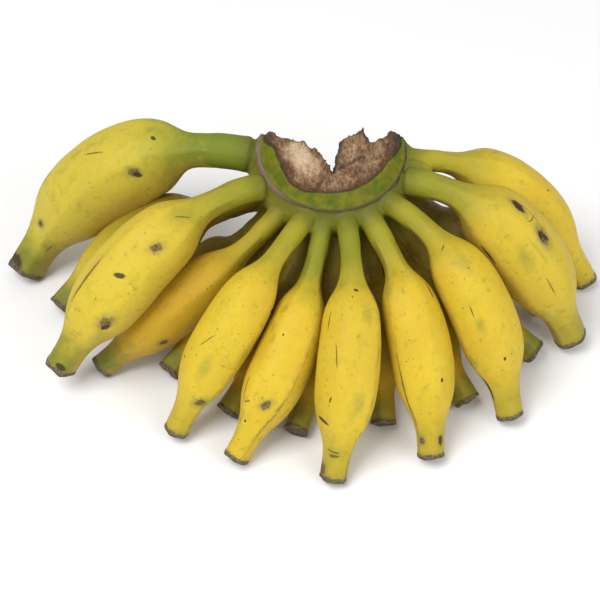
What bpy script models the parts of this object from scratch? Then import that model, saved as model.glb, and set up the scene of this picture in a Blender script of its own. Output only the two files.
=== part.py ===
"""A hand of baby bananas: a cut crown and nineteen fingers in two rows, metres, +Z up.

The hand rests on three finger tips with its crown on top. The front row arches over the back
row. Azimuths are degrees about the crown's middle: 0 is straight to the front, -Y, and +90 is +X.
Driving dimensions are in millimetres and are scaled once, where a shape is made.
"""
import math

import bmesh
import bpy
from mathutils import Vector

MM = 0.001

CROWN_HEIGHT = 74.0
CROWN_TILT = 12.0
CROWN_STEPS = 36
BACK_CUT = 8.0
ROOT_RADIUS = 25.0
NECK_START = {"front": 37.8, "back": 36.4}
RIDGE_RADIUS = 30.0
TIP_SHARE = 0.137
BELLY = 0.6
PATH_STEPS = 160
RIDGES = 5
RIDGE_RISE = 1.03
RIDGE_DIP = 0.96
MIDDLE = (12.5, 48.9, 0.0)

# How each row falls from the crown: drop of the roots under the ridge line, slope at the sides,
# extra slope at the front, and how late the fall gathers
ROW_FALL = {"front": (6.5, 0.04, 0.14, 2.3), "back": (19.0, 0.25, 0.20, 1.7)}

# Fingers from left to right: azimuths of root, belly and tip, reach of the tip, lift of the
# belly, girth, neck's share of the girth, how early the body swells, and height of the tip over
# where it would rest
FRONT = [
    (-92, -96, -88, 140, 7, 37.0, 0.40, 0.07, -1.3),
    (-63, -59, -59, 136, 12, 31.5, 0.34, 0.02, 8.5),
    (-42, -52, -58, 118, -10, 25.0, 0.33, 0.02, 0.6),
    (-20, -29, -34, 118, 6, 24.5, 0.35, 0.02, 0.3),
    (-7, -13, -20, 119, -5, 25.5, 0.31, 0.02, 0.4),
    (11, 5, 0, 121, 5, 26.0, 0.31, 0.01, -1.6),
    (29, 25, 20, 118, 0, 26.0, 0.36, 0.02, 0.2),
    (47, 45, 40, 117, 6, 27.0, 0.34, 0.02, 0.2),
    (67, 67, 65, 116, 9, 29.0, 0.39, 0.03, 0.0),
    (89, 88, 84, 117, 2, 27.0, 0.31, 0.09, -1.8),
]
BACK = [
    (-79, -82, -77, 125, -6, 25.0, 0.36, 0.02, 1.2),
    (-60, -67, -67, 100, -11, 21.0, 0.50, 0.06, 2.3),
    (-39, -44, -46, 97, -11, 19.5, 0.52, 0.06, 2.4),
    (-21, -24, -27, 99, -7, 19.0, 0.52, 0.06, 2.1),
    (1, -5, -9, 100, -9, 19.5, 0.52, 0.06, 2.4),
    (24, 15, 12, 97, -5, 19.5, 0.52, 0.06, 1.9),
    (42, 36, 35, 101, -6, 20.5, 0.52, 0.06, 2.1),
    (60, 57, 58, 105, -6, 22.0, 0.50, 0.05, 2.0),
    (81, 77, 73, 100, -8, 22.5, 0.45, 0.04, 1.6),
]
RESTING = ("finger_front_01", "finger_front_06", "finger_front_10")

# Thickness of a finger as a share of its girth, at shares of its length from inside the crown
SWELL = [
    (0.00, 0.46), (0.05, 0.38), (0.12, 0.31), (0.21, 0.31), (0.27, 0.36), (0.32, 0.45), (0.36, 0.59),
    (0.41, 0.76), (0.47, 0.88), (0.54, 0.97), (0.62, 1.00), (0.70, 0.98), (0.76, 0.91), (0.81, 0.77),
    (0.855, 0.57), (0.90, 0.45), (0.95, 0.42), (0.985, 0.43), (1.00, 0.40),
]

# Half section of the crown, radius and height over its brown ridge line, from the top down
CROWN_SECTION = [
    (0.0, 1.8), (12.0, 1.8), (23.5, 3.0), (25.5, 4.6), (31.4, 0.0), (34.5, -1.8), (36.6, -5.0),
    (37.0, -9.0), (36.4, -14.0), (35.2, -19.5), (30.0, -25.0), (22.0, -26.5), (0.0, -26.5),
]
SPLIT_OUTLINE = [(1.3, -12.0), (7.0, 12.0), (-15.5, 12.0)]
SPLIT_DEPTH = 40.0
FLAP_OUTLINE = [(5.5, 0.0), (16.5, 0.0), (13.5, 9.5), (10.5, 8.0), (8.5, 9.0), (7.0, 5.5)]
FLAP_THICKNESS = 4.0
FLAP_PLACE = (0.0, 5.0, 0.5)


def through(x, first, middle, last):
    """Value at x of the parabola that takes the three given at 0, BELLY and 1."""
    from_first = first * (x - BELLY) * (x - 1) / BELLY
    from_middle = middle * x * (x - 1) / (BELLY * (BELLY - 1))
    from_last = last * x * (x - BELLY) / (1 - BELLY)
    return from_first + from_middle + from_last


def thickness(share, neck, early):
    """Share of the girth that a finger has at a share of its length, no thinner than its neck."""
    share += early * math.sin(math.pi * share)
    for (start, thin), (end, thick) in zip(SWELL, SWELL[1:]):
        if share <= end:
            return max(neck, thin + (thick - thin) * (share - start) / (end - start))
    return SWELL[-1][1]


def centre_line(row, root, belly, tip, reach, lift, girth, neck, early, foot):
    """Points along the middle of a finger, from inside the crown out and down to its tip."""
    ahead = max(0.0, math.cos(math.radians(root)))
    drop, side_slope, more_slope, bend = ROW_FALL[row]
    top = CROWN_HEIGHT - RIDGE_RADIUS * math.sin(math.radians(CROWN_TILT)) * ahead - drop
    bottom = TIP_SHARE * girth + foot
    slope = side_slope + more_slope * ahead
    points = []
    for step in range(PATH_STEPS + 1):
        x = step / PATH_STEPS
        azimuth = math.radians(through(x, root, belly, tip))
        radius = ROOT_RADIUS + (reach - ROOT_RADIUS) * x
        fall = slope * x + (1 - slope) * x ** bend
        height = top - (top - bottom) * fall + lift * 4 * x * (1 - x)
        points.append(Vector((radius * math.sin(azimuth), -radius * math.cos(azimuth), height)))
    return points


def place_along(points, share):
    """Place at a share of a line's length."""
    lengths = [(b - a).length for a, b in zip(points, points[1:])]
    left = share * sum(lengths)
    for a, b, length in zip(points, points[1:], lengths):
        if left <= length:
            return a.lerp(b, left / length)
        left -= length
    return points[-1]


def neck_share(points, row):
    """Share of a finger's length at which it leaves the crown."""
    lengths = [(b - a).length for a, b in zip(points, points[1:])]
    inside = [length for point, length in zip(points, lengths) if point.xy.length < NECK_START[row]]
    return sum(inside) / sum(lengths)


def add_section():
    """Softly five-sided ring of unit radius that every finger is swept with."""
    curve = bpy.data.curves.new("finger_section", "CURVE")
    curve.dimensions = "2D"
    spline = curve.splines.new("POLY")
    spline.points.add(2 * RIDGES - 1)
    spline.use_cyclic_u = True
    for corner, point in enumerate(spline.points):
        angle = math.pi / 2 + math.pi * corner / RIDGES
        radius = RIDGE_RISE if corner % 2 == 0 else RIDGE_DIP
        point.co = (radius * math.cos(angle), radius * math.sin(angle), 0, 1)
    return add_object("finger_section", curve, cutters)


def add_finger(name, row, values):
    """Finger swept along its centre line, thick and thin as SWELL says."""
    girth, neck, early = values[5:8]
    points = centre_line(row, *values)
    start = neck_share(points, row)
    shares = [start] + [share for share, _ in SWELL if share > start + 0.03]
    curve = bpy.data.curves.new(name, "CURVE")
    curve.dimensions = "3D"
    curve.twist_mode = "Z_UP"
    curve.bevel_mode = "OBJECT"
    curve.bevel_object = section
    curve.use_fill_caps = True
    spline = curve.splines.new("POLY")
    spline.points.add(len(shares) - 1)
    for share, point in zip(shares, spline.points):
        point.co = ((place_along(points, share) + Vector(MIDDLE)) * MM).to_4d()
        point.radius = girth / 2 * thickness(share, neck, early) * MM
    sweep = add_object(name + "_sweep", curve, hand)
    finger = add_object(name, mesh_of(sweep), hand)
    bpy.data.objects.remove(sweep)
    return finger


def add_object(name, data, collection):
    """Object of the given data in a collection."""
    piece = bpy.data.objects.new(name, data)
    collection.objects.link(piece)
    return piece


def mesh_of(curve_object):
    """Closed mesh of a swept curve, its caps welded on."""
    graph = bpy.context.evaluated_depsgraph_get()
    mesh = bpy.data.meshes.new_from_object(curve_object.evaluated_get(graph))
    bm = bmesh.new()
    bm.from_mesh(mesh)
    bmesh.ops.remove_doubles(bm, verts=bm.verts[:], dist=0.00001)
    bmesh.ops.recalc_face_normals(bm, faces=bm.faces[:])
    bm.to_mesh(mesh)
    bm.free()
    return mesh


def add_plate(name, outline, thick):
    """Flat outline filled and given a thickness, as a mesh in the cutters' collection."""
    curve = bpy.data.curves.new(name, "CURVE")
    curve.dimensions = "2D"
    curve.fill_mode = "BOTH"
    curve.extrude = thick / 2 * MM
    spline = curve.splines.new("POLY")
    spline.points.add(len(outline) - 1)
    spline.use_cyclic_u = True
    for (x, y), point in zip(outline, spline.points):
        point.co = (x * MM, y * MM, 0, 1)
    flat = add_object(name + "_outline", curve, cutters)
    plate = add_object(name, mesh_of(flat), cutters)
    bpy.data.objects.remove(flat)
    return plate


def add_box(name, size, centre):
    """Box in the cutters' collection."""
    bm = bmesh.new()
    bmesh.ops.create_cube(bm, size=1.0)
    bmesh.ops.scale(bm, vec=Vector(size) * MM, verts=bm.verts[:])
    bmesh.ops.translate(bm, vec=Vector(centre) * MM, verts=bm.verts[:])
    mesh = bpy.data.meshes.new(name)
    bm.to_mesh(mesh)
    bm.free()
    return add_object(name, mesh, cutters)


def combine(piece, tool, operation):
    """Boolean of a piece with a hidden tool."""
    tool.hide_render = True
    tool.display_type = "WIRE"
    change = piece.modifiers.new(tool.name, "BOOLEAN")
    change.operation = operation
    change.solver = "EXACT"
    change.object = tool


def add_crown():
    """Crown turned from its half section."""
    mesh = bpy.data.meshes.new("crown")
    verts = [(radius * MM, 0, height * MM) for radius, height in CROWN_SECTION]
    mesh.from_pydata(verts, [(k, k + 1) for k in range(len(verts) - 1)], [])
    piece = add_object("crown", mesh, hand)
    turn = piece.modifiers.new("turn", "SCREW")
    turn.steps = CROWN_STEPS
    turn.render_steps = CROWN_STEPS
    turn.use_merge_vertices = True
    turn.merge_threshold = 0.00001
    return piece


def put_on_crown(piece, place=(0.0, 0.0, 0.0), lean=0.0):
    """Stand a piece at a place given over the crown's tilted ridge line."""
    tilt = math.radians(CROWN_TILT)
    right, ahead, up = place
    centre = Vector((0, 0, CROWN_HEIGHT)) + Vector(MIDDLE)
    shift = Vector((right, ahead * math.cos(tilt) - up * math.sin(tilt),
                    ahead * math.sin(tilt) + up * math.cos(tilt)))
    piece.location = (centre + shift) * MM
    piece.rotation_euler = (tilt + math.radians(lean), 0, 0)


def add_material(piece, colour, roughness):
    """Own plain material of a piece."""
    material = bpy.data.materials.new(piece.name + "_skin")
    material.use_nodes = True
    shader = material.node_tree.nodes["Principled BSDF"]
    shader.inputs["Base Color"].default_value = (*colour, 1)
    shader.inputs["Roughness"].default_value = roughness
    piece.data.materials.append(material)


for old in list(bpy.data.objects):
    bpy.data.objects.remove(old, do_unlink=True)

hand = bpy.data.collections.new("baby_banana_hand")
bpy.context.scene.collection.children.link(hand)
cutters = bpy.data.collections.new("cutters")
bpy.context.scene.collection.children.link(cutters)

section = add_section()
section.hide_render = True
floor = add_box("floor_cutter", (400, 400, 20), (0, 0, -10))
for row, table, colour in (("front", FRONT, (0.80, 0.58, 0.06)), ("back", BACK, (0.70, 0.52, 0.07))):
    for number, values in enumerate(table, 1):
        finger = add_finger(f"finger_{row}_{number:02d}", row, values)
        finger.data.shade_smooth()
        add_material(finger, colour, 0.45)
        if finger.name in RESTING:
            combine(finger, floor, "DIFFERENCE")

crown = add_crown()
put_on_crown(crown)
add_material(crown, (0.28, 0.30, 0.07), 0.7)
flap = add_plate("torn_flap", FLAP_OUTLINE, FLAP_THICKNESS)
put_on_crown(flap, FLAP_PLACE, lean=90)
split = add_plate("split_cutter", SPLIT_OUTLINE, 2 * SPLIT_DEPTH)
put_on_crown(split)
back = add_box("back_cutter", (120, 80, 120), (0, 40 + BACK_CUT, 0))
put_on_crown(back)
combine(crown, flap, "UNION")
combine(crown, split, "DIFFERENCE")
combine(crown, back, "DIFFERENCE")
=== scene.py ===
import math

import bmesh
import bpy
from mathutils import Matrix, Vector, noise


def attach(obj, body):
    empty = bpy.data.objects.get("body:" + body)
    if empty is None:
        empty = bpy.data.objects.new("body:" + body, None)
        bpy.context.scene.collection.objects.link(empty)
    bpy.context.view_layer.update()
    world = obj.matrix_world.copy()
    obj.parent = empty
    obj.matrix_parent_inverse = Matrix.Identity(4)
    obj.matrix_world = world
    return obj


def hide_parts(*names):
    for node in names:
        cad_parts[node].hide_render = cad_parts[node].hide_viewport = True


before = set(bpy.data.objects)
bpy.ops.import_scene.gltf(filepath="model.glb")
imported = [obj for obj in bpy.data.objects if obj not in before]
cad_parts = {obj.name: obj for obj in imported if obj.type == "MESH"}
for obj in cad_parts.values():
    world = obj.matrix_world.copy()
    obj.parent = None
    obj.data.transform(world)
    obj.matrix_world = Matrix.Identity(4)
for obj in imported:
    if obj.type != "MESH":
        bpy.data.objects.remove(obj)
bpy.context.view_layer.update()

MM = 0.001

# Camera, from the photograph's frame
CAMERA_AIM = Vector((-0.0012, 0.0019, 0.030))
CAMERA_ELEVATION = 48.0
CAMERA_DISTANCE = 0.700
CAMERA_LENS = 97.7

# Light: brightness of the world around, and power of the two lamps
WORLD_LIGHT = 0.54
KEY_POWER = 11.0
FILL_POWER = 5.0

# The hand's driving dimensions, in millimetres and degrees: the solids' own, with some of the
# outer fingers a little fuller and higher
CROWN_HEIGHT = 74.0
CROWN_TILT = 12.0
ROOT_RADIUS = 25.0
RIDGE_RADIUS = 30.0
MIDDLE = Vector((12.5, 48.9, 0.0))

# A finger's line: half its tip as a share of the girth, its belly as a share of its line, and steps
TIP_SHARE = 0.137
BELLY = 0.6
PATH_STEPS = 160

# Drop of a row's roots under the ridge line, slope of its fingers at the sides, how much more
# slope they have in front, and how late they bend down
ROW_FALL = {"front": (6.5, 0.04, 0.14, 2.3), "back": (19.0, 0.25, 0.20, 1.7)}

# Each finger: degrees round the crown at its root, belly and tip, reach, lift of its middle, girth,
# neck as a share of the girth, how early it swells, and how high its tip stands
FRONT = [
    (-92, -96, -88, 140, 6, 38.5, 0.38, 0.07, -1.3),
    (-63, -59, -59, 136, 12, 31.5, 0.34, 0.02, 8.5),
    (-42, -52, -58, 118, -10, 25.0, 0.33, 0.02, 0.6),
    (-20, -29, -34, 118, 6, 24.5, 0.35, 0.02, 0.3),
    (-7, -13, -20, 119, -5, 25.5, 0.31, 0.02, 0.4),
    (11, 5, 0, 121, 5, 26.0, 0.31, 0.01, -1.6),
    (29, 25, 20, 118, 0, 26.0, 0.36, 0.02, 0.2),
    (47, 45, 40, 117, 6, 27.0, 0.34, 0.02, 0.2),
    (67, 68, 66, 116, 10, 33.0, 0.34, 0.03, 0.0),
    (89, 89, 85, 117, 4, 28.0, 0.31, 0.09, -1.8),
]
BACK = [
    (-78, -83, -77, 125, -2, 25.5, 0.36, 0.02, 1.2),
    (-57, -63, -65, 100, -9, 21.5, 0.50, 0.06, 2.3),
    (-42, -47, -47, 97, -9, 20.0, 0.52, 0.06, 2.4),
    (-21, -24, -27, 99, -7, 19.0, 0.52, 0.06, 2.1),
    (1, -5, -9, 100, -9, 19.5, 0.52, 0.06, 2.4),
    (25, 17, 13, 97, -5, 19.5, 0.52, 0.06, 1.9),
    (42, 36, 35, 101, -6, 20.5, 0.52, 0.06, 2.1),
    (60, 57, 58, 105, -6, 22.0, 0.50, 0.05, 2.0),
    (81, 77, 73, 100, -8, 22.5, 0.45, 0.04, 1.6),
]

# Share of the girth by share of the length, from the crown to the tip
SWELL = [
    (0.00, 0.46), (0.05, 0.38), (0.12, 0.31), (0.21, 0.31), (0.27, 0.34), (0.32, 0.40), (0.355, 0.55),
    (0.40, 0.78), (0.455, 0.905), (0.53, 0.975), (0.62, 1.00), (0.70, 0.98), (0.76, 0.91), (0.81, 0.77),
    (0.855, 0.57), (0.90, 0.45), (0.95, 0.42), (0.985, 0.43), (1.00, 0.40),
]

# Fullness of the back row's shoulders, by share of the length
BACK_FULLNESS = [(0.13, 1.12), (0.22, 1.28), (0.33, 1.45), (0.43, 1.36), (0.58, 1.18), (0.75, 1.0)]

# How each finger looks: green of its neck, warmth of its yellow, paleness of its yellow,
# green of its tip, degrees of one ridge from the top towards the viewer's left, wear of the ridges
FRONT_LOOKS = [
    (0.95, 0.10, 0.80, 0.90, 20, 0.10), (0.60, 0.20, 0.40, 0.80, 8, 0.35),
    (0.25, 0.90, 0.00, 0.85, -52, 0.20), (0.45, 0.25, 0.10, 0.35, -84, 0.45),
    (0.75, 0.20, 0.00, 0.10, -54, 0.80), (0.75, 0.25, 0.15, 0.35, -62, 0.70),
    (0.50, 0.25, 0.05, 0.40, 58, 0.60), (0.50, 0.35, 0.15, 0.50, 84, 0.50),
    (0.65, 0.55, 0.40, 0.60, 90, 0.40), (0.30, 0.20, 0.10, 0.20, 12, 0.20),
]
# The back row's yellow is warmer, and the first back finger's greener, than the front's: partly their own
# tone, partly painted shade under the front row
BACK_LOOK = (0.55, 0.75, 0.0, 0.80, 20, 0.40)
FAR_BACK_LOOK = (0.80, 0.30, 0.5, 0.90, 20, 0.40)

# Marks on the front fingers, each a place as a share of the length and degrees round from the top
# towards the viewer's left, half its length and half its width in millimetres, and its turn
BRUISES = {
    1: ((0.408, -66, 5.0, 3.6, 30), (0.805, -22, 3.4, 2.6, 60)),
    2: ((0.473, -44, 4.4, 3.0, 40), (0.736, -66, 6.0, 4.6, 20)),
    3: ((0.713, -90, 3.6, 2.4, 20),),
    4: ((0.834, -64, 4.6, 3.6, 60),),
    5: ((0.763, -26, 4.6, 2.8, 35),),
    6: ((0.964, 60, 5.0, 4.0, 0),),
    7: ((0.933, 42, 3.0, 2.2, 0),),
    9: ((0.433, -4, 5.5, 3.6, 20), (0.545, 8, 6.4, 4.4, 20)),
}
SPOTS = {
    1: ((0.337, -20, 1.5, 0.9, 60), (0.400, -72, 2.2, 1.5, 40), (0.972, 0, 4.0, 5.0, 0)),
    2: ((0.597, -34, 3.0, 1.3, 60), (0.750, -72, 2.4, 1.4, 45), (0.970, -50, 2.0, 3.0, 0)),
    4: ((0.437, -112, 1.5, 4.0, 0), (0.720, 40, 0.8, 0.7, 0)),
    5: ((0.520, 4, 0.7, 0.6, 0), (0.850, 8, 0.7, 0.6, 0)),
    6: ((0.789, 46, 1.0, 4.6, 15), (0.712, 24, 1.6, 0.5, 20), (0.360, -8, 0.7, 1.2, 10)),
    7: ((0.718, -22, 1.1, 0.9, 0), (0.414, -52, 4.6, 0.7, 10), (0.933, -48, 2.6, 1.8, 0)),
    8: ((0.760, 10, 0.9, 0.8, 0), (0.873, 84, 7.0, 1.0, 0)),
    9: ((0.433, -4, 3.2, 2.2, 35), (0.536, 10, 2.2, 1.4, 60), (0.560, 4, 1.8, 0.9, 10),
        (0.470, 94, 6.0, 0.9, 0)),
    10: ((0.546, 12, 0.8, 0.7, 0),),
}
BLOTCHES = {
    1: ((0.274, -56, 7.0, 5.0, 20), (0.864, -80, 6.0, 3.0, 0), (0.213, -78, 9.0, 4.0, 0)),
    2: ((0.360, -26, 7.0, 5.0, 20), (0.797, -84, 6.0, 5.0, 0)),
    3: ((0.819, -52, 4.0, 3.0, 0),),
    4: ((0.702, -24, 7.0, 3.4, 0), (0.609, -84, 5.0, 3.0, 0)),
    5: ((0.545, 20, 3.0, 1.6, 0), (0.428, 24, 3.0, 1.6, 0)),
    6: ((0.441, -34, 5.0, 3.6, 0), (0.712, -32, 6.0, 3.6, 0), (0.895, 16, 4.0, 5.0, 0)),
    7: ((0.379, 52, 5.0, 2.6, 0),),
    8: ((0.412, 14, 6.0, 4.2, 0), (0.622, 36, 5.0, 3.0, 0), (0.757, 78, 2.4, 4.0, 0)),
    9: ((0.560, 50, 8.0, 4.0, 10), (0.560, 8, 8.0, 5.0, 0), (0.805, 82, 5.0, 3.0, 0)),
}
LINES = {
    1: ((0.508, -16, 6.0, 0.45, 25), (0.864, -76, 3.5, 0.45, 10)),
    2: ((0.671, 6, 13.0, 0.60, 0), (0.365, -30, 3.5, 0.35, 40), (0.829, 18, 3.0, 0.8, 0)),
    4: ((0.622, 0, 5.0, 0.30, 30),),
    5: ((0.749, 38, 8.0, 0.45, 0), (0.784, 20, 3.0, 0.4, 60)),
    6: ((0.572, 22, 6.0, 0.38, -12), (0.459, 52, 5.0, 0.40, 0), (0.890, 12, 0.5, 3.6, 8),
        (0.907, 8, 0.5, 3.0, -6)),
    7: ((0.740, 58, 22.0, 0.45, 0),),
    8: ((0.567, 42, 3.2, 0.35, 0), (0.340, 30, 2.0, 0.4, 60)),
    9: ((0.698, 42, 6.5, 0.35, 0), (0.490, -8, 7.0, 0.28, 14)),
}

# Way to a mark, in units of its size, where none is near, and where the way starts to lead off
FAR = (3.0, 3.0, 3.0)
MARK_REACH = 1.4

# Pale patches of the cut face: place in millimetres in the crown's frame, reach, and gain
PALE_SPOTS = (
    ((-15.0, -4.0, 2.0), 9.5, 0.22),
    ((-9.5, -10.0, 2.0), 9.5, 0.19),
    ((8.5, 2.0, 4.0), 7.0, 0.05),
)

# A finger's mesh: its sides and rings, where it starts as a share of its length, degrees between
# its ridges, and height under which nothing goes
FINGER_SIDES = 50
FINGER_RINGS = 110
FINGER_START = 0.13
EDGE_SPACING = 72.0
LOWEST = 0.1

# A finger's skin, in shares of its radius: how five-sided it is at its ends and how much less so
# at its belly, its large and small lumps, and the flare of its scar
END_EDGES = 0.48
BELLY_EDGES_LOST = 0.24
LARGE_LUMP = 0.035
SMALL_LUMP = 0.014
SCAR_FLARE = 0.06
FIVE_SIDED_MEAN = 0.872

# Insets that close a finger's tip: share of the radius to go in, and step along the finger
SCAR_RINGS = ((0.14, 0.002), (0.16, -0.006), (0.18, -0.004), (0.2, 0.006))
SCAR_START = 0.985
SCAR_ROUGHNESS = 0.7

# Crown's section in its own tilted frame: radius, and height over the brown ridge line
CROWN_SECTION = [
    (0.0, 1.2), (8.0, 1.6), (16.0, 2.2), (22.6, 2.9), (24.2, 3.2), (24.9, 4.3), (25.4, 4.8), (26.1, 4.5),
    (28.0, 2.6), (30.2, 0.5), (30.8, 0.6), (31.4, 0.7), (32.0, 0.3), (32.5, -0.6), (34.0, -2.4),
    (35.8, -4.8), (36.5, -8.0), (36.0, -13.0), (33.6, -19.0), (29.5, -23.5), (25.0, -26.0),
    (14.0, -26.5), (0.0, -26.5),
]
CROWN_TOP = CROWN_SECTION[:15]
CROWN_TURNS = 96

# Plan of what is cut away behind the crown: its ragged back with the split, and round the outside
BACK_OUTLINE = [
    (-34.0, 7.0), (-30.0, 8.4), (-27.4, 8.2), (-25.6, 6.4), (-22.4, 5.4), (-19.6, 5.0), (-16.4, 4.2),
    (-13.0, 3.2), (-11.4, 3.4), (-9.6, 0.0), (-7.2, -0.4), (-5.6, -2.8), (-4.4, -5.0), (-2.4, -8.4),
    (-1.6, -10.4), (0.5, -13.0), (1.5, -11.8), (2.6, -8.0), (3.2, -4.6), (3.8, -0.5), (4.6, 3.0),
    (6.6, 5.0), (10.0, 5.4), (13.4, 5.2), (15.4, 2.8), (17.4, 3.0), (19.4, 3.6), (22.0, 4.8), (25.0, 7.0),
    (27.6, 8.6), (29.6, 8.0), (31.0, 5.4), (34.0, 4.6), (60.0, 7.0), (60.0, 60.0), (-60.0, 60.0),
    (-60.0, 7.0),
]

# Torn flap, lying flat, how thick it is, how far it is raised, and where it then stands
FLAP_OUTLINE = [
    (4.0, -8.0), (14.4, -5.0), (14.8, 1.0), (14.2, 2.6), (13.2, 3.6), (12.6, 6.4), (11.6, 4.8),
    (10.4, 4.6), (9.4, 3.0), (8.0, 3.2), (6.8, 1.6), (5.4, 0.6), (4.4, -2.4),
]
FLAP_THICKNESS = 3.0
FLAP_RAISED = 62.0
FLAP_PLACE = (1.0, 3.6, 0.8)

# Rind's width by degrees round the front, the viewer's left negative
RIND_WIDTH = [
    (-180, 0.6), (-104, 0.6), (-97, 2.0), (-91, 3.9), (-83, 7.0), (-67, 7.6), (-51, 5.6), (-42, 4.6),
    (-26, 4.6), (-13, 5.6), (0, 6.2), (23, 6.8), (45, 7.2), (67, 6.2), (80, 4.0), (91, 1.9), (100, 0.6),
    (180, 0.6),
]

# Crevice at the flap's foot in plan, the rind's outer edge, the ridge line and the skirt's start
# The crevice's line also carries painted shadow
CREVICE = ((0.4, -12.5), (13.0, -5.5))
RIND_RADIUS = 31.3
RIDGE_LINE_RADIUS = 31.7
SKIRT_RADIUS = 32.4

# Grain in which the crown's parts are fused, and how often its sides are relaxed
VOXEL = 0.575
RELAX_STEPS = 18

# Necks grown into the crown: where they end as a share of the finger's length, how far they stand
# out over the fingers, from where they shrink into them, by how much, and their flare at the crown
STUB_END = 0.27
STUB_OVER = 0.50
STUB_SHRINK_START = 0.17
STUB_SHRINK = 1.30
STUB_FLARE = 0.8
STUB_FLARE_START = 33.0
STUB_SIDES = 6

# Flesh between the last two necks, which stay grown together out to this radius
GROWN_TOGETHER = (78, 78, 77, 117, 6, 28.0, 0.34, 0.0, 0.0)
GROWN_REACH = 45.0

# Height of a neck's top by its distance from the crown's middle
STUB_TOP = [(32.0, -0.8), (33.5, 0.2), (35.5, 2.0), (38.0, 4.0), (42.0, 8.0)]

# Colours of the peel
YELLOW = (0.68, 0.500, 0.030)
DEEP_YELLOW = (0.63, 0.430, 0.024)
WARM_YELLOW = (0.56, 0.325, 0.018)
PALE_YELLOW = (0.49, 0.425, 0.050)
OLIVE = (0.34, 0.33, 0.028)
NECK_YELLOW = (0.38, 0.32, 0.022)
NECK_GREEN = (0.150, 0.195, 0.016)
ROOT_GREEN = (0.112, 0.122, 0.013)
END_GREEN = (0.155, 0.175, 0.022)
# Painted shade: the brown that darkens the back row and the crown's lower skirt
PAINTED_SHADE_BROWN = (0.150, 0.098, 0.006)
# Painted shade, warmed by painted reflected light, for the fingers' lower sides
LOWER_SIDE_SHADE_TAN = (0.46, 0.265, 0.055)
GRAIN_OCHRE = (0.40, 0.32, 0.035)
MOSS_GREEN = (0.235, 0.245, 0.022)
RUSTY_TAN = (0.36, 0.205, 0.045)
VEIN_OCHRE = (0.36, 0.30, 0.050)
RUBBED_EDGE = (0.38, 0.225, 0.050)
RIDGE_LINE_BROWN = (0.13, 0.070, 0.018)
SPECK_BROWN = (0.13, 0.075, 0.018)
DASH_BROWN = (0.22, 0.155, 0.030)
BLOTCH_GREEN = (0.220, 0.225, 0.035)
BRUISE_RING = (0.215, 0.185, 0.060)
BRUISE_BROWN = (0.085, 0.047, 0.028)
SPOT_BLACK = (0.045, 0.022, 0.014)
SCRATCH_BROWN = (0.085, 0.055, 0.018)
SCORCHED_GREEN = (0.100, 0.095, 0.030)
DEAD_BROWN = (0.060, 0.045, 0.030)
DEAD_GREY = (0.19, 0.150, 0.100)

# Colours of the crown
RIND_GREEN = (0.085, 0.118, 0.003)
RIND_YELLOW = (0.170, 0.165, 0.006)
RIND_GRAIN = (0.085, 0.075, 0.012)
# Painted shade along both sides of the ridge line
RIDGE_SHADE_OLIVE = (0.10, 0.095, 0.030)
BARK_BROWN = (0.055, 0.034, 0.016)
BARK_GREY = (0.26, 0.185, 0.120)
# Painted shadow where the pith sinks below the rind
PITH_EDGE_SHADOW = (0.040, 0.028, 0.016)
PITH_BROWN = (0.115, 0.052, 0.023)
PITH_TAN = (0.34, 0.220, 0.122)
PITH_CREAM = (0.62, 0.46, 0.30)
PITH_PORE = (0.12, 0.050, 0.026)
PITH_RIM = (0.085, 0.036, 0.018)
# Dark of the charred torn edges, also used as painted shadow in the flap's crevice
CHAR_AND_CREVICE_SHADOW_BLACK = (0.050, 0.038, 0.030)


def through(x, first, middle, last):
    """Value at x of the parabola that takes the three given at 0, BELLY and 1."""
    from_first = first * (x - BELLY) * (x - 1) / BELLY
    from_middle = middle * x * (x - 1) / (BELLY * (BELLY - 1))
    from_last = last * x * (x - BELLY) / (1 - BELLY)
    return from_first + from_middle + from_last


def between(table, x):
    """Value at x of a line through a table's points, level beyond its ends."""
    for (start, low), (end, high) in zip(table, table[1:]):
        if x <= end:
            return low + (high - low) * max(0.0, x - start) / (end - start)
    return table[-1][1]


def thickness(share, neck, early):
    """Share of the girth that a finger has at a share of its length, no thinner than its neck."""
    share += early * math.sin(math.pi * share)
    return max(neck, between(SWELL, share))


def smooth_thickness(share, neck, early):
    """The same, with its corners rounded."""
    near = [min(1.0, max(0.0, share + step * 0.008)) for step in range(-3, 4)]
    return sum(thickness(place, neck, early) for place in near) / len(near)


def centre_line(row, values):
    """Points along the middle of a finger, from inside the crown out and down to its tip."""
    root, belly, tip, reach, lift, girth, _, _, foot = values
    ahead = max(0.0, math.cos(math.radians(root)))
    drop, side_slope, more_slope, bend = ROW_FALL[row]
    top = CROWN_HEIGHT - RIDGE_RADIUS * math.sin(math.radians(CROWN_TILT)) * ahead - drop
    bottom = TIP_SHARE * girth + foot
    slope = side_slope + more_slope * ahead
    points = []
    for step in range(PATH_STEPS + 1):
        x = step / PATH_STEPS
        azimuth = math.radians(through(x, root, belly, tip))
        radius = ROOT_RADIUS + (reach - ROOT_RADIUS) * x
        fall = slope * x + (1 - slope) * x ** bend
        height = top - (top - bottom) * fall + lift * 4 * x * (1 - x)
        points.append(Vector((radius * math.sin(azimuth), -radius * math.cos(azimuth), height)))
    return points


def line_length(points):
    """Length of a line through points."""
    return sum((b - a).length for a, b in zip(points, points[1:]))


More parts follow.
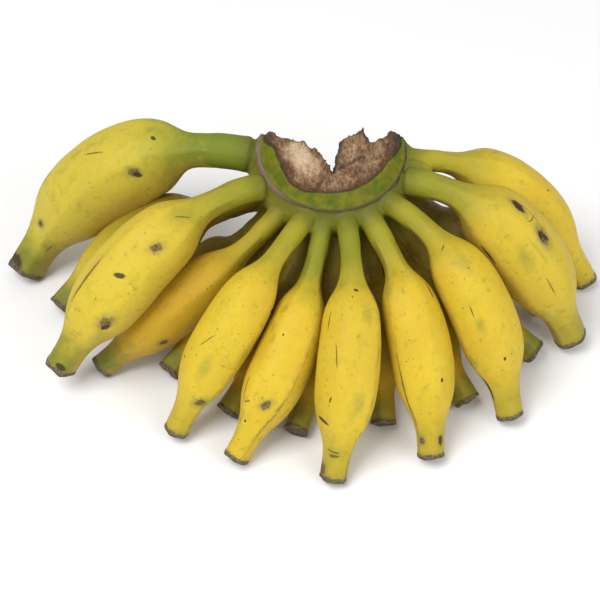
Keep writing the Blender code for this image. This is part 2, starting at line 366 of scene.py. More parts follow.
class Shade:
    """A value in a material: arithmetic on it adds Math nodes."""

    def __init__(self, tree, socket=None):
        self.tree = tree
        self.socket = socket

    def node(self, kind, settings=None, inputs=None, output=0):
        """A node of any kind, with its settings made first and then its sockets filled."""
        made = self.tree.nodes.new(kind)
        for name, value in (settings or {}).items():
            setattr(made, name, value)
        for name, value in (inputs or {}).items():
            if isinstance(value, Shade):
                self.tree.links.new(value.socket, made.inputs[name])
            else:
                made.inputs[name].default_value = value
        return Shade(self.tree, made.outputs[output])

    def maths(self, operation, *values):
        """A Math node on these values."""
        return self.node("ShaderNodeMath", {"operation": operation}, dict(enumerate(values)))

    def __add__(self, other):
        return self.maths("ADD", self, other)

    def __radd__(self, other):
        return self.maths("ADD", other, self)

    def __sub__(self, other):
        if isinstance(other, tuple):
            return self.node("ShaderNodeVectorMath", {"operation": "SUBTRACT"}, {0: self, 1: other})
        return self.maths("SUBTRACT", self, other)

    def __rsub__(self, other):
        return self.maths("SUBTRACT", other, self)

    def __mul__(self, other):
        return self.maths("MULTIPLY", self, other)

    def __rmul__(self, other):
        return self.maths("MULTIPLY", other, self)

    def __abs__(self):
        return self.maths("ABSOLUTE", self)

    def step(self, start, end):
        """0 at start, 1 at end, smooth between."""
        return self.node("ShaderNodeMapRange", {"interpolation_type": "SMOOTHSTEP"},
                         {"Value": self, "From Min": start, "From Max": end})

    def mix(self, first, second):
        """First colour where this is 0, second where it is 1."""
        ends = []
        for colour in (first, second):
            ends.append(colour if isinstance(colour, Shade) else (*colour, 1))
        return self.node("ShaderNodeMix", {"data_type": "RGBA"}, {0: self, 6: ends[0], 7: ends[1]}, 2)

    def moved(self, scale, shift=(0.0, 0.0, 0.0)):
        """These coordinates stretched and shifted."""
        return self.node("ShaderNodeMapping", {}, {"Vector": self, "Scale": scale, "Location": shift})

    def cloud(self, scale, detail=3.0, rough=0.55, warp=0.0):
        """Soft noise on these coordinates, 0 to 1."""
        return self.node("ShaderNodeTexNoise", {},
                         {"Vector": self, "Scale": scale, "Detail": detail, "Roughness": rough,
                          "Distortion": warp})

    def cells(self, scale, output="Distance"):
        """Distance to the nearest of many scattered points, or that point's own colour."""
        return self.node("ShaderNodeTexVoronoi", {}, {"Vector": self, "Scale": scale}, output)

    def parts(self):
        """The three numbers of a vector."""
        made = self.node("ShaderNodeSeparateXYZ", {}, {0: self})
        outputs = made.socket.node.outputs
        return [Shade(self.tree, outputs[name]) for name in ("X", "Y", "Z")]

    def size(self):
        """Length of a vector."""
        return self.node("ShaderNodeVectorMath", {"operation": "LENGTH"}, {0: self}, "Value")

    def reading(self, name, output="Fac"):
        """A value stored on the mesh."""
        return self.node("ShaderNodeAttribute", {"attribute_name": name}, {}, output)


def new_material(name):
    """An empty node material and its shader."""
    material = bpy.data.materials.new(name)
    material.use_nodes = True
    shader = material.node_tree.nodes["Principled BSDF"]
    return material, shader, Shade(material.node_tree)


def feed(shade, shader, colour, rough, height, strength, depth):
    """Connect a finish to its shader, with a bump of the given depth in metres."""
    links = shade.tree.links
    links.new(colour.socket, shader.inputs["Base Color"])
    links.new(rough.socket, shader.inputs["Roughness"])
    bump = shade.node("ShaderNodeBump", {}, {"Height": height, "Strength": strength, "Distance": depth})
    links.new(bump.socket, shader.inputs["Normal"])


def peel_colour(shade):
    """Yellow of the body with green at both ends and painted shade where the mesh asks for it, for the
    fingers and for the crown's sides.
    """
    peel = shade.reading("peel", "Vector")
    share = shade.reading("share")
    green, warm, pale = shade.reading("tone", "Vector").parts()
    slow = peel.cloud(0.045, 2.0)
    patchy = peel.cloud(0.16, 4.0, 0.6)
    body = slow.step(0.35, 0.68).mix(YELLOW, DEEP_YELLOW)
    body = (warm * 0.8).mix(body, WARM_YELLOW)
    body = (pale * 0.8).mix(body, PALE_YELLOW)
    body = (patchy.step(0.50, 0.72) * (0.10 + green * 0.25 + pale * 0.25)).mix(body, OLIVE)
    leaf = green.mix(NECK_YELLOW, NECK_GREEN)
    neck = 1.0 - (share + (patchy - 0.5) * 0.20).step(0.22, 0.43)
    body = (neck * (0.70 + green * 0.30)).mix(body, leaf)
    root = 1.0 - (share + (patchy - 0.5) * 0.06).step(0.06, 0.17)
    body = (root * 0.90).mix(body, ROOT_GREEN)
    tip = (share + (patchy - 0.5) * 0.12).step(0.80, 0.95)
    body = (tip * shade.reading("tip_green")).mix(body, END_GREEN)
    # Painted shade where the mesh's shaded value is set: the back row and the crown's lower skirt
    body = (shade.reading("shaded") * 0.95).mix(body, PAINTED_SHADE_BROWN)
    return body, peel, share, patchy


def make_peel():
    """Skin of a finger: yellow and green, painted shade on its lower sides, ridge lines, specks, bruises
    and a dark flower end.
    """
    material, shader, shade = new_material("ripe_peel")
    colour, peel, share, patchy = peel_colour(shade)
    edge = shade.reading("edge")
    worn = shade.reading("worn")
    fine = peel.cloud(1.1, 5.0, 0.65)
    grain = peel.cloud(0.45, 4.0, 0.6)
    streak = peel.moved((0.10, 1.0, 1.0)).cloud(0.8, 3.0, 0.6)
    # Painted shade with warm reflected light on the downward-facing sides of each finger, broken by grain
    lower_side_shade = shade.reading("lower_side_shade") * (0.35 + grain * 0.9)
    colour = (lower_side_shade.step(0.15, 0.95) * 0.50).mix(colour, LOWER_SIDE_SHADE_TAN)
    colour = (grain.step(0.45, 0.75) * 0.20).mix(colour, GRAIN_OCHRE)
    moss = (peel.cloud(0.22, 4.0, 0.65, 0.2) + share.step(0.72, 0.95) * 0.03).step(0.57, 0.70)
    colour = (moss * (0.20 + grain.step(0.40, 0.60) * 0.34)).mix(colour, MOSS_GREEN)
    tan = (peel.moved((0.6, 1.0, 1.0), (40.0, 0.0, 0.0)).cloud(0.20, 5.0, 0.7) - 0.5).step(0.10, 0.22)
    colour = (tan * fine.step(0.35, 0.65) * 0.35).mix(colour, RUSTY_TAN)
    veins = peel.moved((0.12, 1.2, 1.2)).cloud(1.4, 2.0, 0.5)
    colour = (veins.step(0.62, 0.76) * 0.16).mix(colour, VEIN_OCHRE)

    soft_edge = edge.step(0.62, 1.0) * grain.step(0.30, 0.62)
    colour = (soft_edge * worn * 0.45).mix(colour, RUBBED_EDGE)
    crest = (edge + (fine - 0.5) * 0.10).step(0.84, 0.98)
    ends = 0.35 + share.step(0.60, 0.90) * 0.65 + (1.0 - share.step(0.28, 0.40)) * 0.35
    colour = (crest * streak.step(0.42, 0.60) * ends * worn).mix(colour, RIDGE_LINE_BROWN)

    dots = peel.cells(0.40)
    dot_pick, dot_size, dot_dark = peel.cells(0.40, "Color").parts()
    crowded = peel.cloud(0.07, 2.0).step(0.46, 0.62)
    reach_of_dot = 0.04 + dot_size * 0.10
    specks = (1.0 - (dots - reach_of_dot).step(0.0, 0.06)) * (dot_pick + crowded * 0.24).step(0.74, 0.78)
    colour = (specks * (0.35 + dot_dark * 0.45)).mix(colour, SPECK_BROWN)
    dashes = peel.moved((0.30, 1.0, 1.0)).cells(0.9)
    dash_pick = peel.moved((0.30, 1.0, 1.0)).cells(0.9, "Color").parts()[1]
    dust = (1.0 - dashes.step(0.06, 0.18)) * (dash_pick + crowded * 0.12).step(0.83, 0.87)
    colour = (dust * 0.55).mix(colour, DASH_BROWN)

    ragged = (peel.cloud(0.55, 5.0, 0.70) - 0.5) * 1.2
    reach = {name: shade.reading(name, "Vector").size() for name in ("bruise", "spot", "blotch", "line")}
    faint = 1.0 - (reach["blotch"] + ragged).step(0.25, 1.15)
    colour = (faint * (0.30 + fine.step(0.38, 0.66) * 0.22)).mix(colour, BLOTCH_GREEN)
    halo = 1.0 - (reach["bruise"] + ragged).step(0.45, 1.20)
    colour = (halo * (0.45 + fine.step(0.38, 0.66) * 0.25)).mix(colour, BRUISE_RING)
    core = 1.0 - (reach["bruise"] + ragged).step(0.34, 0.66)
    colour = (core * (0.60 + fine.step(0.40, 0.60) * 0.40)).mix(colour, BRUISE_BROWN)
    spot = 1.0 - (reach["spot"] + ragged * 0.8).step(0.60, 1.05)
    colour = (spot * 0.92).mix(colour, SPOT_BLACK)
    line = 1.0 - (reach["line"] + ragged * 1.1).step(0.50, 1.05)
    colour = (line * 0.80).mix(colour, SCRATCH_BROWN)

    end = share + (patchy - 0.5) * 0.040
    scorched = end.step(0.962, 0.996)
    dead = (share + (grain - 0.5) * 0.016).step(0.978, 0.988)
    colour = (scorched * (0.15 + grain.step(0.35, 0.6) * 0.35)).mix(colour, SCORCHED_GREEN)
    colour = (dead * 0.95).mix(colour, fine.step(0.35, 0.65).mix(DEAD_BROWN, DEAD_GREY))

    rough = 0.47 + fine * 0.14 + dead * 0.3 + core * 0.15
    height = fine * 0.5 + streak * 0.35 - spot * 0.6 - specks * 0.4 + dead * peel.cloud(0.9, 4.0) * 2.0
    feed(shade, shader, colour, rough, height, 0.35, 0.0006)
    shader.inputs["Specular IOR Level"].default_value = 0.22
    return material


def make_crown():
    """Crown: green sides and rind, a brown ridge line and a dry fibrous cut face, with painted shade by
    the ridge, at the pith's sunken edge and in the flap's crevice.
    """
    material, shader, shade = new_material("cut_crown")
    colour = peel_colour(shade)[0]
    place = shade.reading("crown_mm", "Vector")
    band = shade.reading("band")
    torn = shade.reading("torn")
    on_face = shade.reading("on_face")
    charred_and_crevice_shade = shade.reading("charred_and_crevice_shade")
    fine = place.cloud(1.2, 5.0, 0.65)
    soft = place.cloud(0.20, 3.0)
    wobble = place.cloud(0.6, 3.0) - 0.5

    rind = soft.step(0.32, 0.66).mix(RIND_GREEN, RIND_YELLOW)
    rind = (fine.step(0.50, 0.70) * 0.35).mix(rind, RIND_GRAIN)
    on_band = (band + wobble * 0.05).step(0.02, 0.10) * on_face
    colour = (on_band * (1.0 - torn)).mix(colour, rind)
    # Painted shade in a band on both sides of the rind's outer edge, by the ridge line
    beside = 1.0 - abs(band + wobble * 0.05 + 0.02).step(0.05, 0.30)
    colour = (beside * on_face * 0.45).mix(colour, RIDGE_SHADE_OLIVE)
    left = (place.parts()[0] * -1.0).step(12.0, 27.0)
    rim_way = abs(place.moved((1.0, 1.0, 0.0)).size() - RIDGE_LINE_RADIUS + wobble * 0.5)
    ridge = (1.0 - (rim_way - left * 0.60).step(0.22, 0.58)) * on_face
    bark = (fine.step(0.40, 0.64) * 0.3 + left * 0.6).mix(BARK_BROWN, BARK_GREY)
    colour = (ridge * 0.92).mix(colour, bark)
    # Painted shadow: a thin dark line where the pith sinks below the rind's inner edge
    inner = 1.0 - abs(band + wobble * 0.10 - 1.05).step(0.04, 0.16)
    colour = (inner * on_face * 0.9).mix(colour, PITH_EDGE_SHADOW)

    fibre = place.moved((1.0, 0.45, 0.22)).cloud(0.9, 4.0, 0.6)
    blots = place.cloud(0.16, 4.0, 0.65)
    tone = fibre * 0.5 + blots * 0.5
    for point, reach, gain in PALE_SPOTS:
        tone = tone + (1.0 - (place - point).size().step(reach * 0.3, reach)) * gain
    pith = tone.step(0.40, 0.66).mix(PITH_BROWN, PITH_TAN)
    pith = (tone.step(0.58, 0.80) * 0.85).mix(pith, PITH_CREAM)
    dark = 1.0 - place.cells(1.3).step(0.10, 0.34)
    pith = (dark * 0.55).mix(pith, PITH_PORE)
    rim = 1.0 - (band + wobble * 0.9).step(1.05, 1.8)
    pith = (rim * 0.80).mix(pith, PITH_RIM)
    # Charred torn edges and horns, somewhat darker back faces, and painted shadow in the flap's crevice
    pith = (charred_and_crevice_shade * (0.75 + fine * 0.4)).mix(pith, CHAR_AND_CREVICE_SHADOW_BLACK)
    colour = torn.mix(colour, pith)

    rough = 0.50 + fine * 0.1 + torn * 0.38
    height = fine * 0.4 + torn * fibre * 3.0 + ridge * fine
    feed(shade, shader, colour, rough, height, 0.5, 0.0008)
    shader.inputs["Specular IOR Level"].default_value = 0.2
    return material


def clear_selection():
    """Nothing is selected in object mode."""
    for piece in list(bpy.context.selected_objects):
        piece.select_set(False)


def make_active(piece):
    """Only this piece is selected."""
    clear_selection()
    piece.select_set(True)
    bpy.context.view_layer.objects.active = piece


def store(mesh, name, kind, values):
    """Values for each vertex under a name."""
    data = mesh.attributes.new(name, kind, "POINT").data
    flat = [number for value in values for number in value] if kind == "FLOAT_VECTOR" else values
    data.foreach_set("vector" if kind == "FLOAT_VECTOR" else "value", flat)


def add_straight_finger():
    """A straight tube of unit length and radius along +X, its tip closed by a sunken scar."""
    bpy.ops.mesh.primitive_cylinder_add(vertices=FINGER_SIDES, radius=1.0, depth=1.0,
                                        end_fill_type="NGON", location=(0.5, 0, 0),
                                        rotation=(0, math.pi / 2, 0))
    tube = bpy.context.object
    tube.name = "straight_finger"
    bpy.ops.object.transform_apply(location=True, rotation=True, scale=True)
    bpy.ops.object.mode_set(mode="EDIT")
    bpy.ops.mesh.select_all(action="DESELECT")
    mesh = bmesh.from_edit_mesh(tube.data)
    for edge in mesh.edges:
        a, b = edge.verts
        edge.select_set(abs(a.co.x - b.co.x) > 0.5)
    mesh.select_flush(True)
    bmesh.update_edit_mesh(tube.data)
    bpy.ops.mesh.subdivide(number_cuts=FINGER_RINGS)
    bpy.ops.mesh.select_all(action="DESELECT")
    mesh = bmesh.from_edit_mesh(tube.data)
    for face in mesh.faces:
        face.select_set(face.calc_center_median().x > 0.9999)
    bmesh.update_edit_mesh(tube.data)
    for inwards, onwards in SCAR_RINGS:
        bpy.ops.mesh.inset(thickness=inwards)
        bpy.ops.transform.translate(value=(onwards, 0, 0))
    bpy.ops.mesh.poke()
    bpy.ops.object.mode_set(mode="OBJECT")
    return tube


def add_line(name, points):
    """Curve through points, for a finger to bend along."""
    curve = bpy.data.curves.new(name, "CURVE")
    curve.dimensions = "3D"
    curve.twist_mode = "Z_UP"
    spline = curve.splines.new("POLY")
    spline.points.add(len(points) - 1)
    for point, place in zip(spline.points, points):
        point.co = (place * MM).to_4d()
    line = bpy.data.objects.new(name, curve)
    bpy.context.scene.collection.objects.link(line)
    return line


def ridge_nearness(turn):
    """1 on one of a finger's five ridges, 0 midway between two, from degrees round from a ridge."""
    away = turn % EDGE_SPACING
    return 1 - min(away, EDGE_SPACING - away) * 2 / EDGE_SPACING


def five_sided(nearness):
    """Radius of a five-sided outline of mean radius 1."""
    half = math.radians(EDGE_SPACING / 2)
    return math.cos(half) / math.cos(half * nearness) / FIVE_SIDED_MEAN


def way_to_mark(marks, along, angle, radius, length):
    """Way from the nearest mark in units of its size; the third number keeps the far side clean."""
    nearest, way = 99.0, FAR
    for share, turn, long, wide, tilt in marks:
        across = (angle - math.radians(turn + 90) + math.pi) % (2 * math.pi) - math.pi
        forward, aside = along - share * length, across * max(radius, 2.0)
        away = math.hypot(forward, aside) / max(long, wide)
        if away < nearest:
            nearest = away
            tilted = math.radians(tilt)
            u = (forward * math.cos(tilted) + aside * math.sin(tilted)) / long
            v = (aside * math.cos(tilted) - forward * math.sin(tilted)) / wide
            way = (u, v, 3.0 * min(1.0, max(0.0, (away - MARK_REACH) / 0.6)))
    return way


def skin_radius(row, values, seed, share, nearness, ring, out):
    """Distance of a finger's skin from its middle, and the lump there as a share of the radius."""
    girth, neck, early = values[5:8]
    body = math.sin(math.pi * min(1.0, max(0.0, (share - 0.28) / 0.66)))
    rise = (END_EDGES - BELLY_EDGES_LOST * body) * (five_sided(nearness) - 1)
    lump = noise.noise(ring + seed) * LARGE_LUMP
    lump += noise.noise(Vector((share * 14, 2 * ring.y, 2 * ring.z)) + seed) * SMALL_LUMP
    flare = SCAR_FLARE * math.exp(-((share - 0.994) / 0.006) ** 2)
    sunk = 0.84 + 0.16 * min(1.0, max(0.0, (share - FINGER_START) / 0.05))
    if row == "back":
        sunk *= between(BACK_FULLNESS, share)
    radius = girth / 2 * smooth_thickness(min(share, 1.0), neck, early) * sunk
    return radius * ((1 + rise + lump + flare) * out), lump


def add_finger(name, row, number, values, look):
    """One finger: the straight one shaped, given its marks' places, and bent along its line."""
    green, warm, pale, tip_green, roll, worn = look
    points = [point + MIDDLE for point in centre_line(row, values)]
    length = line_length(points)
    finger = straight.copy()
    finger.data = straight.data.copy()
    finger.name = name
    finger.data.name = name
    bpy.context.scene.collection.objects.link(finger)
    mesh = finger.data
    seed = Vector((number * 37.0, number * 61.0, 0))
    marks = {"bruise": BRUISES, "spot": SPOTS, "blotch": BLOTCHES, "line": LINES}
    ways = {kind: [] for kind in marks}
    peel, shares, edges, ends, shaded, lower_side_shades = [], [], [], [], [], []
    for vertex in mesh.vertices:
        share = FINGER_START + (1 - FINGER_START) * vertex.co.x
        out = math.hypot(vertex.co.y, vertex.co.z)
        turn = math.degrees(math.atan2(vertex.co.z, vertex.co.y))
        angle = math.radians(turn + 90 + roll)
        nearness = ridge_nearness(turn)
        chief = abs((turn + 180) % 360 - 180) < EDGE_SPACING / 2
        ring = Vector((share * 5, math.cos(angle), math.sin(angle)))
        radius, lump = skin_radius(row, values, seed, share, nearness, ring, out)
        torn = 0.0
        if vertex.co.x > SCAR_START:
            torn = noise.noise(Vector((1.2 * ring.y, 1.2 * ring.z, 0)) + seed) * SCAR_ROUGHNESS
        place = Vector((share * length + torn, radius * math.cos(angle), radius * math.sin(angle)))
        vertex.co = place
        for kind, table in marks.items():
            places = table.get(number, ())
            ways[kind].append(way_to_mark(places, place.x, angle, radius, length))
        peel.append(place + Vector((number * 71.0, number * 40.0, 0)))
        shares.append(share)
        edges.append(nearness * min(1.0, out) * (1.0 if chief else 0.75))
        # Painted shade on the back row: full up to 0.40 of its length, gone by 0.85
        shaded.append(1 - min(1.0, max(0.0, (share - 0.40) / 0.45)) if row == "back" else 0.0)
        ends.append(tip_green * min(1.3, 1 + lump * 8))
        # How much the skin faces down, for the painted shade on the lower sides
        lower_side_shades.append(min(1.0, max(0.0, (0.55 - math.sin(angle)) / 0.9)))
    for kind, way in ways.items():
        store(mesh, kind, "FLOAT_VECTOR", way)
    store(mesh, "peel", "FLOAT_VECTOR", peel)
    store(mesh, "share", "FLOAT", shares)
    store(mesh, "edge", "FLOAT", edges)
    store(mesh, "tip_green", "FLOAT", ends)
    store(mesh, "shaded", "FLOAT", shaded)
    store(mesh, "lower_side_shade", "FLOAT", lower_side_shades)
    store(mesh, "worn", "FLOAT", [worn] * len(peel))
    store(mesh, "tone", "FLOAT_VECTOR", [(green, warm, pale)] * len(peel))
    mesh.transform(Matrix.Scale(MM, 4))
    line = add_line(name + "_line", points)
    bend = finger.modifiers.new("bend", "CURVE")
    bend.object = line
    bend.deform_axis = "POS_X"
    make_active(finger)
    bpy.ops.object.modifier_apply(modifier="bend")
    bpy.ops.object.shade_smooth()
    bpy.data.objects.remove(line)
    for vertex in mesh.vertices:
        vertex.co.z = max(vertex.co.z, LOWEST * MM)
    mesh.materials.append(peel_skin)
    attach(finger, "root")
    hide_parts(name)


def crown_place():
    """From the crown's own frame to the row's, in millimetres."""
    return (Matrix.Translation(Vector((0, 0, CROWN_HEIGHT)) + MIDDLE)
            @ Matrix.Rotation(math.radians(CROWN_TILT), 4, "X"))


def add_turned_crown():
    """Crown turned from its section by spinning the outline round in edit mode."""
    mesh = bpy.data.meshes.new("crown_turned")
    mesh.from_pydata([(r, 0, h) for r, h in CROWN_SECTION],
                     [(k, k + 1) for k in range(len(CROWN_SECTION) - 1)], [])
    piece = bpy.data.objects.new("crown_turned", mesh)
    bpy.context.scene.collection.objects.link(piece)
    make_active(piece)
    bpy.ops.object.mode_set(mode="EDIT")
    bpy.ops.mesh.select_all(action="SELECT")
    bpy.ops.mesh.spin(steps=CROWN_TURNS, angle=2 * math.pi, center=(0, 0, 0), axis=(0, 0, 1))
    bpy.ops.mesh.select_all(action="SELECT")
    bpy.ops.mesh.remove_doubles(threshold=0.001)
    bpy.ops.mesh.normals_make_consistent(inside=False)
    bpy.ops.object.mode_set(mode="OBJECT")
    return piece


def add_plate(name, outline, thick):
    """Flat outline filled and thickened, as a mesh."""
    mesh = bpy.data.meshes.new(name)
    mesh.from_pydata([(x, y, -thick / 2) for x, y in outline], [], [list(range(len(outline)))])
    piece = bpy.data.objects.new(name, mesh)
    bpy.context.scene.collection.objects.link(piece)
    make_active(piece)
    bpy.ops.object.mode_set(mode="EDIT")
    bpy.ops.mesh.select_all(action="SELECT")
    bpy.ops.mesh.extrude_region_move(TRANSFORM_OT_translate={"value": (0, 0, thick)})
    bpy.ops.mesh.select_all(action="SELECT")
    bpy.ops.mesh.normals_make_consistent(inside=False)
    bpy.ops.object.mode_set(mode="OBJECT")
    return piece


def add_stub(row, values, last_radius=99.0):
    """Root of a neck, fused into the crown: a tapering sweep along the finger's first stretch."""
    girth, neck, early = values[5:8]
    points = centre_line(row, values)
    length = line_length(points)
    curve = bpy.data.curves.new("stub", "CURVE")
    curve.dimensions = "3D"
    curve.bevel_depth = 1.0
    curve.bevel_resolution = STUB_SIDES
    curve.use_fill_caps = True
    kept, walked = [], 0.0
    for a, b in zip(points, points[1:]):
        if walked / length < STUB_END and a.xy.length < last_radius - 0.5:
            kept.append((a, walked / length))
        walked += (b - a).length
    spline = curve.splines.new("POLY")
    spline.points.add(len(kept) - 1)
    back = crown_place().inverted()
    for point, (place, share) in zip(spline.points, kept):
        inside = back @ (place + MIDDLE)
        shrunk = max(0.0, (share - STUB_SHRINK_START) / (STUB_END - STUB_SHRINK_START))
        over = STUB_OVER - STUB_SHRINK * shrunk
        radius = girth / 2 * smooth_thickness(max(share, 0.11), neck, early) + over
        if row == "back":
            radius *= between(BACK_FULLNESS, share)
        radius += STUB_FLARE * (1 - min(1.0, max(0.0, (inside.xy.length - STUB_FLARE_START) / 6.0)))
        point.co = inside.to_4d()
        least = radius * min(1.0, max(0.3, (inside.xy.length - 30.5) / 5.5))
        fade = math.sqrt(min(1.0, max(0.05, (last_radius - place.xy.length) / 7.0)))
        point.radius = fade * max(least, min(radius, between(STUB_TOP, inside.xy.length) - inside.z))
    stub = bpy.data.objects.new("stub", curve)
    bpy.context.scene.collection.objects.link(stub)
    make_active(stub)
    bpy.ops.object.convert(target="MESH")
    return bpy.context.object


def band_across(place):
    """0 on the ridge line and 1 at the rind's inner edge."""
    azimuth = math.degrees(math.atan2(place.x, -place.y))
    return (RIND_RADIUS - place.xy.length) / between(RIND_WIDTH, azimuth)


def way_from_edge(place, outline):
    """Distance in plan to the nearest side of an open outline."""
    nearest = 99.0
    for (ax, ay), (bx, by) in zip(outline, outline[1:]):
        side = Vector((bx - ax, by - ay))
        share = min(1.0, max(0.0, (place.xy - Vector((ax, ay))).dot(side) / side.length_squared))
        nearest = min(nearest, (place.xy - Vector((ax, ay)) - side * share).length)
    return nearest


def beyond_crevice(place):
    """Distance behind the crevice at the torn flap's foot, and whether the place is beside it."""
    start, end = Vector(CREVICE[0]), Vector(CREVICE[1])
    side = (end - start).normalized()
    gap = place.xy - start
    along = gap.dot(side)
    return gap.y * side.x - gap.x * side.y, -1.5 < along < (end - start).length + 1.0


def weather_crown(mesh):
    """Tears the crown's face and back, and stores what its finish reads."""
    growing = [("front", row) for row in FRONT] + [("back", row) for row in BACK]
    looks = FRONT_LOOKS + [BACK_LOOK] * len(BACK)
    roots = [(math.radians(row[0]), ROW_FALL[name][0]) for name, row in growing]
    stored = {name: [] for name in ("band", "torn", "on_face", "charred_and_crevice_shade", "share", "tip_green", "shaded")}
    tones, here = [], []
    normals = [Vector(entry.vector) for entry in mesh.vertex_normals]
    for vertex, normal in zip(mesh.vertices, normals):
        place = vertex.co.copy()
        radius = place.xy.length
        band = band_across(place)
        section = between(CROWN_TOP, radius)
        face = 1.0 if radius < 33.4 and abs(place.z - section) < 1.0 else 0.0
        inside = band > 1.03 and place.z > -24.0
        behind = normal.y > 0.35 and abs(place.x) < 31.0 and -14.0 < place.y < 10.0
        rough = 1.0 if inside or behind else 0.0
        charred_and_crevice_shade = 0.0
        if rough:
            grain = Vector((place.x * 0.40, place.y * 0.40, place.z * 0.14))
            ragged = noise.fractal(grain, 0.9, 2.1, 3) * 0.75 + noise.noise(place * 1.0) * 0.22
            if place.z > -3.0:
                edge = way_from_edge(place, BACK_OUTLINE)
                horn = min(1.0, max(0.0, (abs(place.x) - 22.0) / 6.0)) * (place.y > -6.0)
                charred_and_crevice_shade = max(1.0 - edge / 1.3, horn * 0.9)
                behind_crevice, beside = beyond_crevice(place)
                # Painted shadow along the crevice at the torn flap's foot, darkest on its line
                if beside and not behind:
                    charred_and_crevice_shade = max(charred_and_crevice_shade, 0.95 - abs(behind_crevice + ragged) / 0.8)
                    ragged += 1.5 * min(1.0, max(0.0, behind_crevice / 0.8)) * (place.z < 4.0)
            if behind:
                charred_and_crevice_shade = max(charred_and_crevice_shade, 0.25)
            vertex.co = place + normal * ragged
        elif 0.1 < band < 1.0 and face:
            vertex.co = place + normal * noise.noise(place * 0.35) * 0.25
        azimuth = math.atan2(place.x, -place.y)
        nearest = min(range(len(roots)), key=lambda k: ((azimuth - roots[k][0]) * 37) ** 2
                      + ((-place.z - roots[k][1]) * 0.8) ** 2)
        share = max(0.0, (radius - ROOT_RADIUS) / 118)
        # Painted shade on the crown's low front skirt, carried in the same shaded value as the back row's
        under = 0.8 if place.z < -15.0 and place.y < 10.0 and radius > 30.0 else 0.0
        numbers = (band, rough, face, max(0.0, charred_and_crevice_shade), share, 0.0, under)
        for column, number in zip(stored.values(), numbers):
            column.append(number)
        tones.append(looks[nearest][:3])
        here.append(place)
    for name, column in stored.items():
        store(mesh, name, "FLOAT", column)
    store(mesh, "crown_mm", "FLOAT_VECTOR", here)
    store(mesh, "peel", "FLOAT_VECTOR", here)
    store(mesh, "tone", "FLOAT_VECTOR", tones)


def add_crown():
    """Crown with the roots of all necks, its rind, its torn face and its split."""
    crown = add_turned_crown()
    crown.name = "crown_cut"
    cutter = add_plate("back_cut", BACK_OUTLINE, 90.0)
    cut = crown.modifiers.new("cut", "BOOLEAN")
    cut.operation = "DIFFERENCE"
    cut.solver = "EXACT"
    cut.object = cutter
    make_active(crown)
    bpy.ops.object.modifier_apply(modifier="cut")
    bpy.data.objects.remove(cutter)
    flap = add_plate("flap", FLAP_OUTLINE, FLAP_THICKNESS)
    raised = Matrix.Rotation(math.radians(FLAP_RAISED), 4, "X")
    flap.data.transform(Matrix.Translation(FLAP_PLACE) @ raised)
    joined = [flap]
    for row, table in (("front", FRONT), ("back", BACK)):
        joined += [add_stub(row, values) for values in table]
    joined.append(add_stub("front", GROWN_TOGETHER, GROWN_REACH))
    clear_selection()
    for piece in joined + [crown]:
        piece.select_set(True)
    bpy.context.view_layer.objects.active = crown
    bpy.ops.object.join()
    remesh = crown.modifiers.new("remesh", "REMESH")
    remesh.mode = "VOXEL"
    remesh.voxel_size = VOXEL
    make_active(crown)
    bpy.ops.object.modifier_apply(modifier="remesh")
    mesh = crown.data
    sides = crown.vertex_groups.new(name="sides")
    for vertex in mesh.vertices:
        beyond = vertex.co.xy.length - SKIRT_RADIUS
        if beyond > 0.0 and vertex.co.z < 1.5:
            sides.add([vertex.index], min(1.0, beyond / 1.4), "REPLACE")
    relax = crown.modifiers.new("relax", "SMOOTH")
    relax.factor = 0.5
    relax.iterations = RELAX_STEPS
    relax.vertex_group = "sides"
    bpy.ops.object.modifier_apply(modifier="relax")
    soften = crown.modifiers.new("soften", "SMOOTH")
    soften.factor = 0.5
    soften.iterations = 1
    bpy.ops.object.modifier_apply(modifier="soften")
    weather_crown(mesh)
    mesh.transform(Matrix.Scale(MM, 4) @ crown_place())
    bpy.ops.object.shade_smooth()
    mesh.materials.append(crown_finish)
    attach(crown, "root")
    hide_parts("crown")


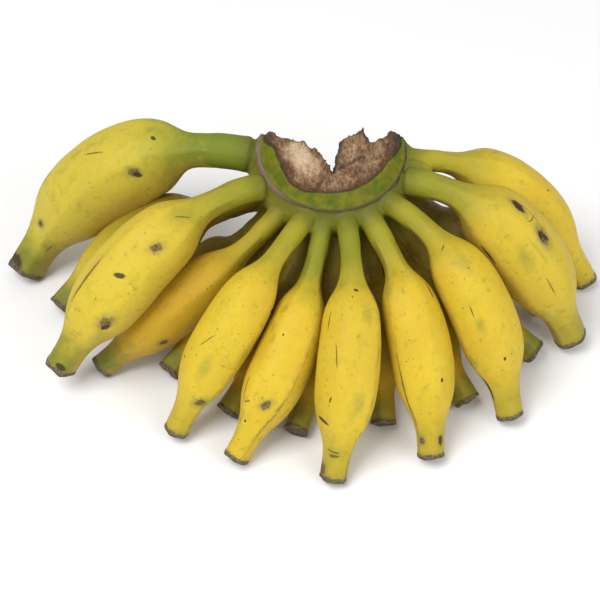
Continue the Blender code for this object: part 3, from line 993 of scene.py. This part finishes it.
def add_light(name, kind, place, aim, power, size):
    """A soft lamp that looks at a point."""
    lamp = bpy.data.lights.new(name, kind)
    lamp.energy = power
    lamp.size = size
    holder = bpy.data.objects.new(name, lamp)
    bpy.context.scene.collection.objects.link(holder)
    holder.location = place
    holder.rotation_euler = (Vector(aim) - Vector(place)).to_track_quat("-Z", "Y").to_euler()


def add_stage():
    """Pale floor, soft light and the photograph's camera."""
    bpy.ops.mesh.primitive_plane_add(size=6.0, location=(0, 0, 0))
    floor = bpy.context.object
    floor.name = "studio_floor"
    material, shader, _ = new_material("studio_white")
    shader.inputs["Base Color"].default_value = (0.9, 0.9, 0.9, 1)
    shader.inputs["Roughness"].default_value = 0.9
    floor.data.materials.append(material)
    world = bpy.data.worlds.new("studio")
    world.use_nodes = True
    world.node_tree.nodes["Background"].inputs["Color"].default_value = (1, 1, 1, 1)
    world.node_tree.nodes["Background"].inputs["Strength"].default_value = WORLD_LIGHT
    bpy.context.scene.world = world
    add_light("key", "AREA", (-0.5, -0.35, 1.1), (0, 0, 0.03), KEY_POWER, 0.7)
    add_light("fill", "AREA", (0.8, -0.6, 0.6), (0, 0, 0.03), FILL_POWER, 0.8)
    camera = bpy.data.objects.new("photo_camera", bpy.data.cameras.new("photo_camera"))
    bpy.context.scene.collection.objects.link(camera)
    up = math.radians(CAMERA_ELEVATION)
    back = Vector((0, -math.cos(up), math.sin(up)))
    camera.location = CAMERA_AIM + back * CAMERA_DISTANCE
    camera.rotation_euler = (-back).to_track_quat("-Z", "Y").to_euler()
    camera.data.lens = CAMERA_LENS
    camera.data.clip_start = 0.01
    bpy.context.scene.camera = camera
    bpy.context.scene.view_settings.view_transform = "Standard"


add_stage()
peel_skin = make_peel()
crown_finish = make_crown()
clear_selection()
straight = add_straight_finger()
for number, (values, look) in enumerate(zip(FRONT, FRONT_LOOKS), 1):
    add_finger(f"finger_front_{number:02d}", "front", number, values, look)
for number, values in enumerate(BACK, 1):
    look = FAR_BACK_LOOK if number == 1 else BACK_LOOK
    add_finger(f"finger_back_{number:02d}", "back", number + 20, values, look)
bpy.data.objects.remove(straight)
add_crown()
